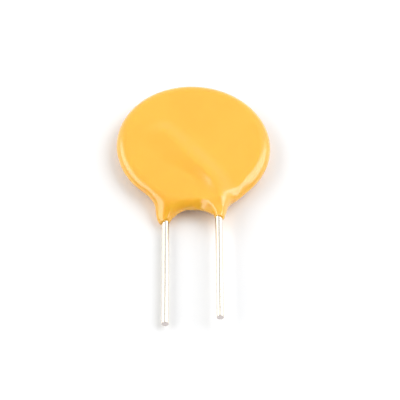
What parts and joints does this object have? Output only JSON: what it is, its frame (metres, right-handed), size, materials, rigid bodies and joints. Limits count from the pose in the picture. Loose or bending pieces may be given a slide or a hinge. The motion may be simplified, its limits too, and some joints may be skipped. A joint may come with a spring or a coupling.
{
  "type": "resettable fuse",
  "caption": "Radial-leaded resettable fuse: a polymer chip in a round dipped epoxy coating, with parallel wire leads for soldering into a circuit board.",
  "frame": {"origin": "on the surface that the part lies on, under the middle of its box", "axes": "+Z out of the disc's front face, +Y along the leads from their tips towards the disc, +X to the front lead's side"},
  "size_m": [0.0168, 0.0317, 0.0028],
  "materials": {
    "epoxy_coating": "dipped amber-yellow epoxy, smooth and glossy with a faint orange-peel",
    "tinned_wire": "bright tin plating on copper wire",
    "conductive_polymer": "carbon-filled polymer, matt black",
    "plated_foil": "nickel-plated copper foil, satin",
    "solder": "reflowed solder, dull bright"
  },
  "bodies": {
    "root": {"coating": "epoxy_coating", "front_lead": "tinned_wire", "back_lead": "tinned_wire", "polymer_chip": "conductive_polymer", "front_foil": "plated_foil", "back_foil": "plated_foil", "front_solder": "solder", "back_solder": "solder"}
  },
  "joints": []
}
